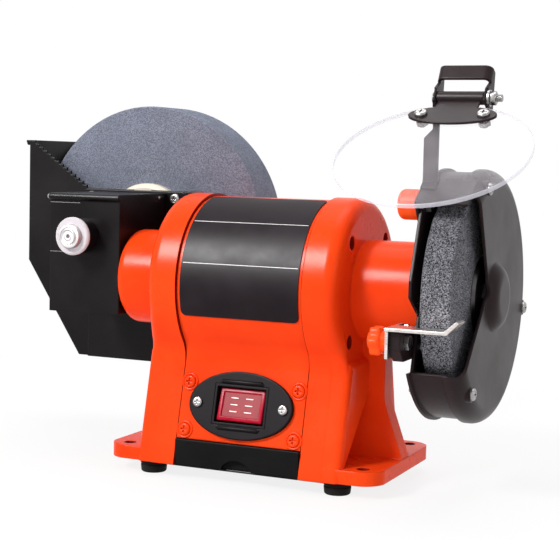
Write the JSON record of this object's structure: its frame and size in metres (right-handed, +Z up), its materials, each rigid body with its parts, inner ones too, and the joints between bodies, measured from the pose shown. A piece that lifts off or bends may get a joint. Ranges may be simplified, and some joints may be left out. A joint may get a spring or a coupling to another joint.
{
  "type": "bench grinder",
  "caption": "Bench grinder with a fast dry wheel in a guard, a slow geared wet wheel in a water tank, a tilting clear visor and a pull-out drawer",
  "frame": {"origin": "on the bench under the middle of the motor", "axes": "+X along the motor shaft to the dry wheel, +Z up, the front with the switch faces -Y"},
  "size_m": [0.4645, 0.2914, 0.2896],
  "materials": {
    "orange_paint": "smooth gloss orange enamel on castings",
    "black_sheet": "semi-gloss black paint on steel sheet",
    "rubber": "matt black rubber",
    "zinc_steel": "bright zinc plate",
    "orange_screw": "screw heads painted with the housing",
    "label_black": "blank satin black foil",
    "black_plastic": "fine-textured black moulding",
    "red_plastic": "glossy red moulding",
    "steel": "turned and ground steel",
    "copper": "varnished copper wire",
    "bronze": "turned bronze",
    "dry_stone": "coarse grey bonded grit",
    "wet_stone": "fine pale blue-grey bonded grit",
    "cream_plastic": "cream moulding",
    "white_plastic": "white nylon",
    "orange_plastic": "orange moulded knob",
    "clear_plastic": "clear polycarbonate sheet"
  },
  "bodies": {
    "base": {"centre_body": "orange_paint", "left_end_casting": "orange_paint", "right_end_casting": "orange_paint", "bottom_plate": "black_sheet", "rubber_feet": "rubber", "foot_screws": "zinc_steel", "tie_bolts": "zinc_steel", "housing_screws": "orange_screw", "nameplate": "label_black", "switch_plate": "black_plastic", "switch_plate_screws": "zinc_steel", "switch_housing": "black_plastic", "cord_grommet": "rubber", "stator_core": "steel", "stator_windings": "copper", "capacitor": "black_plastic", "bearings": "steel", "neck_bush": "bronze", "guard_inner": "black_sheet", "guard_cover": "black_sheet", "guard_bolts": "zinc_steel", "guard_mount_screws": "zinc_steel", "deflector_bolt": "zinc_steel", "rest_bracket": "black_sheet", "rest_bracket_screws": "zinc_steel", "rest_bolt": "zinc_steel", "gear_box": "black_sheet", "gear_box_screws": "zinc_steel", "gear_box_back": "black_sheet", "front_bush": "bronze", "back_bush": "bronze", "water_tank": "black_sheet", "tank_spacers": "zinc_steel", "tank_screws": "zinc_steel"},
    "motor_rotor": {"motor_shaft": "steel", "rotor_core": "steel", "worm": "steel", "dry_inner_flange": "steel", "dry_wheel": "dry_stone", "dry_outer_flange": "steel", "dry_nut": "zinc_steel"},
    "wet_rotor": {"worm_wheel": "bronze", "wet_shaft": "steel", "wet_washer": "white_plastic", "wet_nut": "zinc_steel", "wet_wheel": "wet_stone", "wet_front_hub": "cream_plastic", "wet_back_hub": "cream_plastic", "wet_back_nut": "zinc_steel"},
    "rocker": {"switch_rocker": "red_plastic"},
    "drawer": {"coolant_drawer": "black_plastic"},
    "deflector": {"spark_deflector": "black_sheet", "visor_arm": "black_sheet", "visor_hinge_bolt": "zinc_steel"},
    "visor": {"visor_bracket": "black_sheet", "visor_lens": "clear_plastic", "visor_screws": "zinc_steel"},
    "rest": {"tool_rest": "zinc_steel"},
    "upper_knob": {"deflector_knob": "orange_plastic"},
    "lower_knob": {"rest_knob": "orange_plastic"}
  },
  "joints": [
    {"name": "motor_spin", "type": "hinge", "parent": "base", "child": "motor_rotor", "pos_m": [0, 0, 0.136], "axis": [1, 0, 0], "continuous": true},
    {"name": "wet_spin", "type": "hinge", "parent": "base", "child": "wet_rotor", "pos_m": [-0.1435, 0, 0.166], "axis": [0, 1, 0], "continuous": true},
    {"name": "rocker_tilt", "type": "hinge", "parent": "base", "child": "rocker", "pos_m": [0, -0.04802, 0.0531], "axis": [1, 0, 0], "range_deg": [0, 14]},
    {"name": "drawer_slide", "type": "slide", "parent": "base", "child": "drawer", "axis": [0, -1, 0], "range_m": [0, 0.08]},
    {"name": "deflector_slide", "type": "slide", "parent": "base", "child": "deflector", "axis": [0, -0.8192, -0.5736], "range_m": [0, 0.008]},
    {"name": "visor_tilt", "type": "hinge", "parent": "deflector", "child": "visor", "pos_m": [0.149, -0.046, 0.268], "axis": [1, 0, 0], "range_deg": [-60, 10]},
    {"name": "rest_slide", "type": "slide", "parent": "base", "child": "rest", "axis": [0, -1, 0], "range_m": [0, 0.01]},
    {"name": "upper_knob_turn", "type": "hinge", "parent": "base", "child": "upper_knob", "pos_m": [0.1165, -0.04359, 0.19826], "axis": [1, 0, 0], "range_deg": [-180, 180]},
    {"name": "lower_knob_turn", "type": "hinge", "parent": "base", "child": "lower_knob", "pos_m": [0.11, -0.075, 0.1105], "axis": [1, 0, 0], "range_deg": [-180, 180]}
  ],
  "couplings": [
    {"joint": "motor_spin", "follows": "wet_spin", "ratio": 22}
  ]
}
